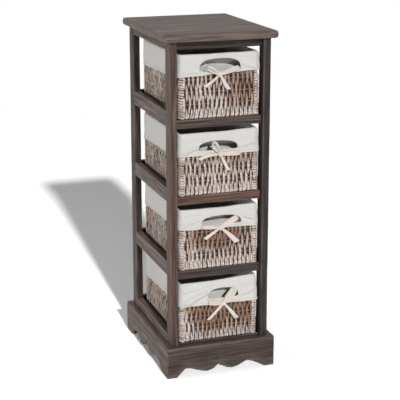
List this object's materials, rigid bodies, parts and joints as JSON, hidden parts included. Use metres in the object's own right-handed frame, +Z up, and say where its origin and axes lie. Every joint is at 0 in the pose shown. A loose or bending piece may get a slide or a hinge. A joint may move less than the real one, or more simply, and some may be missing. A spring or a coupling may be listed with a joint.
{
  "type": "storage cabinet with baskets",
  "caption": "Slim open storage cabinet of dark stained wood with pull-out woven baskets, cloth liners, ribbon bows and a scalloped plinth.",
  "frame": {"origin": "on the floor under the middle of the cabinet", "axes": "+Z up; -Y is the front, where the baskets slide out; +X is the cabinet's right side seen from behind it, and the right side of a picture taken from the front"},
  "size_m": [0.25, 0.32, 0.745],
  "materials": {
    "frame_wood": "dark grey-brown stain, satin, worn at the edges",
    "top_wood": "dark grey-brown stain, satin, worn at the edges",
    "plywood": "stained plywood, matte",
    "dowel_wood": "plain beech",
    "wicker": "whitewashed brown strands, matte",
    "hoop_wire": "plain wire",
    "cloth": "off-white cotton, matte",
    "ribbon": "cream satin ribbon"
  },
  "bodies": {
    "cabinet": {"top_board": "top_wood", "post_front_left": "frame_wood", "post_front_right": "frame_wood", "post_back_left": "frame_wood", "post_back_right": "frame_wood", "front_apron": "frame_wood", "back_apron": "frame_wood", "side_apron_left": "frame_wood", "side_apron_right": "frame_wood", "plinth_front": "frame_wood", "plinth_back": "frame_wood", "plinth_left": "frame_wood", "plinth_right": "frame_wood", "top_dowels": "dowel_wood", "rail_dowels": "dowel_wood", "front_rail_1": "frame_wood", "back_rail_1": "frame_wood", "side_rail_left_1": "frame_wood", "side_rail_right_1": "frame_wood", "shelf_1": "plywood", "front_rail_2": "frame_wood", "back_rail_2": "frame_wood", "side_rail_left_2": "frame_wood", "side_rail_right_2": "frame_wood", "shelf_2": "plywood", "front_rail_3": "frame_wood", "back_rail_3": "frame_wood", "side_rail_left_3": "frame_wood", "side_rail_right_3": "frame_wood", "shelf_3": "plywood", "front_rail_4": "frame_wood", "back_rail_4": "frame_wood", "side_rail_left_4": "frame_wood", "side_rail_right_4": "frame_wood", "shelf_4": "plywood"},
    "basket_unit_1": {"basket_1": "wicker", "basket_hoop_1": "hoop_wire", "liner_1": "cloth", "bow_1": "ribbon"},
    "basket_unit_2": {"basket_2": "wicker", "basket_hoop_2": "hoop_wire", "liner_2": "cloth", "bow_2": "ribbon"},
    "basket_unit_3": {"basket_3": "wicker", "basket_hoop_3": "hoop_wire", "liner_3": "cloth", "bow_3": "ribbon"},
    "basket_unit_4": {"basket_4": "wicker", "basket_hoop_4": "hoop_wire", "liner_4": "cloth", "bow_4": "ribbon"}
  },
  "joints": [
    {"name": "basket_slide_1", "type": "slide", "parent": "cabinet", "child": "basket_unit_1", "axis": [0, -1, 0], "range_m": [0, 0.27]},
    {"name": "basket_slide_2", "type": "slide", "parent": "cabinet", "child": "basket_unit_2", "axis": [0, -1, 0], "range_m": [0, 0.27]},
    {"name": "basket_slide_3", "type": "slide", "parent": "cabinet", "child": "basket_unit_3", "axis": [0, -1, 0], "range_m": [0, 0.27]},
    {"name": "basket_slide_4", "type": "slide", "parent": "cabinet", "child": "basket_unit_4", "axis": [0, -1, 0], "range_m": [0, 0.27]}
  ]
}
